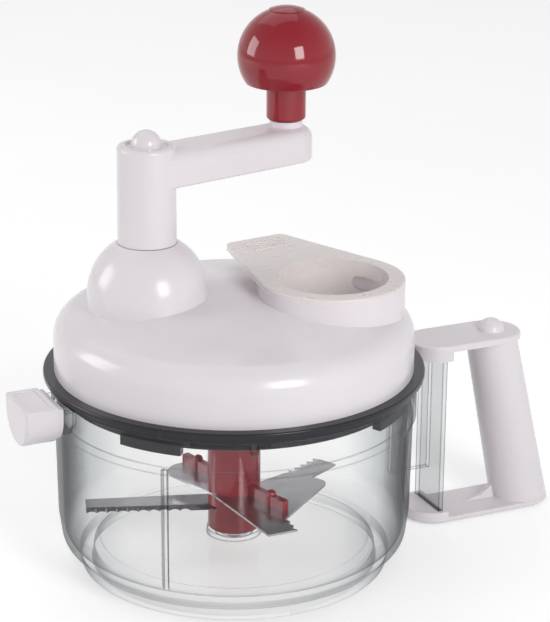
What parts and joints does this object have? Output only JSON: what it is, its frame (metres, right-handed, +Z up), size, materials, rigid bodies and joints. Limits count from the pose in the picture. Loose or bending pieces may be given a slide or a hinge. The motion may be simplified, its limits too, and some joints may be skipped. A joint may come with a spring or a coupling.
{
  "type": "hand-crank food chopper",
  "caption": "Hand-crank food chopper: clear bowl with spout and handle, geared lid with a ball-knob crank, lift-out feed cup and serrated blades on a central hub.",
  "frame": {"origin": "on the bowl's axis, at the plane of its foot ring, which stands on the table", "axes": "+Z up the bowl's axis, +X towards the handle, the spout towards -X"},
  "size_m": [0.2733, 0.174, 0.2507],
  "materials": {
    "clear_plastic": "clear, glossy",
    "steel": "ground",
    "white_plastic": "glossy",
    "seal_rubber": "matt",
    "dark_plastic": "glossy",
    "bush_brass": "turned",
    "warm_white_plastic": "satin",
    "gear_plastic": "moulded",
    "red_plastic": "glossy",
    "blade_steel": "ground"
  },
  "bodies": {
    "bowl": {"bowl": "clear_plastic", "blade_pin": "steel", "handle": "white_plastic", "handle_plug": "white_plastic"},
    "cap": {"spout_cap": "white_plastic"},
    "seal": {"rim_seal": "seal_rubber"},
    "lid": {"lid_shell": "white_plastic", "locking_ring": "dark_plastic", "gear_cover": "white_plastic", "cover_screws": "steel", "shaft_bush": "bush_brass", "pinion_bush": "bush_brass"},
    "insert": {"feed_insert": "warm_white_plastic"},
    "crank": {"crank_arm": "white_plastic", "crank_cap": "white_plastic", "crank_screw": "steel", "crank_shaft": "steel", "shaft_clip": "steel", "drive_gear": "gear_plastic", "knob_pin": "steel", "knob_clip": "steel"},
    "knob": {"knob": "red_plastic", "knob_cap": "red_plastic"},
    "rotor": {"drive_pinion": "gear_plastic", "blade_hub": "red_plastic", "blade_lower": "blade_steel", "blade_middle": "blade_steel", "blade_upper": "blade_steel"}
  },
  "joints": [
    {"name": "cap_pull", "type": "slide", "parent": "bowl", "child": "cap", "axis": [-1, 0, 0], "range_m": [0, 0.025]},
    {"name": "lid_lift", "type": "slide", "parent": "bowl", "child": "seal", "axis": [0, 0, 1], "range_m": [0, 0.1]},
    {"name": "lid_lock", "type": "hinge", "parent": "seal", "child": "lid", "pos_m": [0, 0, 0.0933], "axis": [0, 0, 1], "range_deg": [0, 20]},
    {"name": "insert_lift", "type": "slide", "parent": "lid", "child": "insert", "axis": [0, 0, 1], "range_m": [0, 0.04]},
    {"name": "crank_turn", "type": "hinge", "parent": "lid", "child": "crank", "pos_m": [-0.0359, 0.01524, 0.16], "axis": [0, 0, 1], "continuous": true},
    {"name": "knob_spin", "type": "hinge", "parent": "crank", "child": "knob", "pos_m": [0.03991, 0.03135, 0.2276], "axis": [0, 0, 1], "continuous": true},
    {"name": "blade_spin", "type": "hinge", "parent": "lid", "child": "rotor", "pos_m": [0, 0, 0.05], "axis": [0, 0, 1], "continuous": true}
  ],
  "couplings": [
    {"joint": "blade_spin", "follows": "crank_turn", "ratio": -3}
  ]
}
